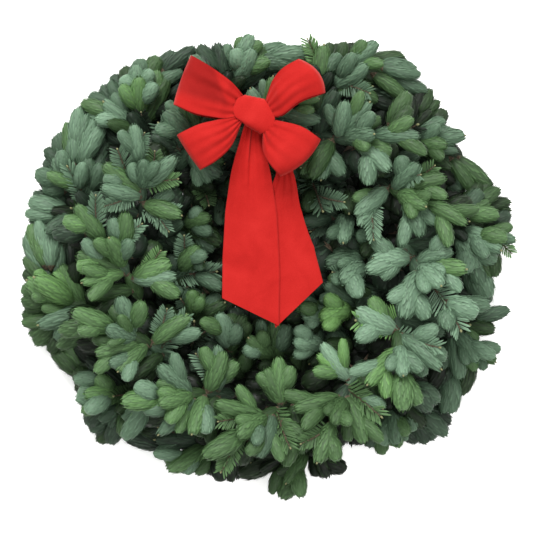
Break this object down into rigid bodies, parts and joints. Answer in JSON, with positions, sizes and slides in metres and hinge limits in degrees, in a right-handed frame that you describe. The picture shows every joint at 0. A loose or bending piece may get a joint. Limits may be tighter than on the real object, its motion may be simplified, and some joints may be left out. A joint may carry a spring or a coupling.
{
  "type": "fresh evergreen wreath",
  "caption": "Fresh noble fir wreath on a clamp ring, with a red velvet ribbon bow, lying flat on its back.",
  "frame": {"origin": "middle of the wreath on the flat surface that it lies on", "axes": "+Z out of the wreath's front, +Y from the middle towards the bow, +X to the right as seen from the front"},
  "size_m": [0.5561, 0.5281, 0.1621],
  "materials": {
    "needles_blue_green": "waxy blue-green fir needles on brown twigs",
    "needles_mid_green": "waxy mid-green fir needles on brown twigs",
    "needles_deep_green": "waxy deep-green fir needles on brown twigs",
    "red_velvet": "matte flocked velvet",
    "ring_steel": "dark green paint on steel wire and strip",
    "tie_wire": "dark green paint on thin wire"
  },
  "bodies": {
    "root": {"wire_ring": "ring_steel", "clamp_01": "ring_steel", "clamp_02": "ring_steel", "clamp_03": "ring_steel", "clamp_04": "ring_steel", "clamp_05": "ring_steel", "clamp_06": "ring_steel", "clamp_07": "ring_steel", "clamp_08": "ring_steel", "clamp_09": "ring_steel", "clamp_10": "ring_steel", "clamp_11": "ring_steel", "clamp_12": "ring_steel", "outer_sprig_01": "needles_blue_green", "outer_sprig_02": "needles_blue_green", "outer_sprig_03": "needles_blue_green", "outer_sprig_04": "needles_blue_green", "outer_sprig_05": "needles_blue_green", "outer_sprig_06": "needles_blue_green", "outer_sprig_07": "needles_blue_green", "outer_sprig_08": "needles_blue_green", "outer_sprig_09": "needles_blue_green", "outer_sprig_10": "needles_blue_green", "outer_sprig_11": "needles_blue_green", "outer_sprig_12": "needles_blue_green", "inner_sprig_01": "needles_deep_green", "inner_sprig_02": "needles_deep_green", "inner_sprig_03": "needles_deep_green", "inner_sprig_04": "needles_deep_green", "inner_sprig_05": "needles_deep_green", "inner_sprig_06": "needles_deep_green", "inner_sprig_07": "needles_deep_green", "inner_sprig_08": "needles_deep_green", "inner_sprig_09": "needles_deep_green", "inner_sprig_10": "needles_deep_green", "inner_sprig_11": "needles_deep_green", "inner_sprig_12": "needles_deep_green", "crown_sprig_01": "needles_mid_green", "crown_sprig_02": "needles_mid_green", "crown_sprig_03": "needles_mid_green", "crown_sprig_04": "needles_mid_green", "crown_sprig_05": "needles_mid_green", "crown_sprig_06": "needles_mid_green", "crown_sprig_07": "needles_mid_green", "crown_sprig_08": "needles_mid_green", "crown_sprig_09": "needles_mid_green", "crown_sprig_10": "needles_mid_green", "crown_sprig_11": "needles_mid_green", "crown_sprig_12": "needles_mid_green", "bow_loop_upper_left": "red_velvet", "bow_loop_upper_right": "red_velvet", "bow_loop_lower_left": "red_velvet", "bow_loop_lower_right": "red_velvet", "bow_centre_wrap": "red_velvet", "bow_tail_front": "red_velvet", "bow_tail_back": "red_velvet", "bow_tie_wire": "tie_wire"}
  },
  "joints": []
}
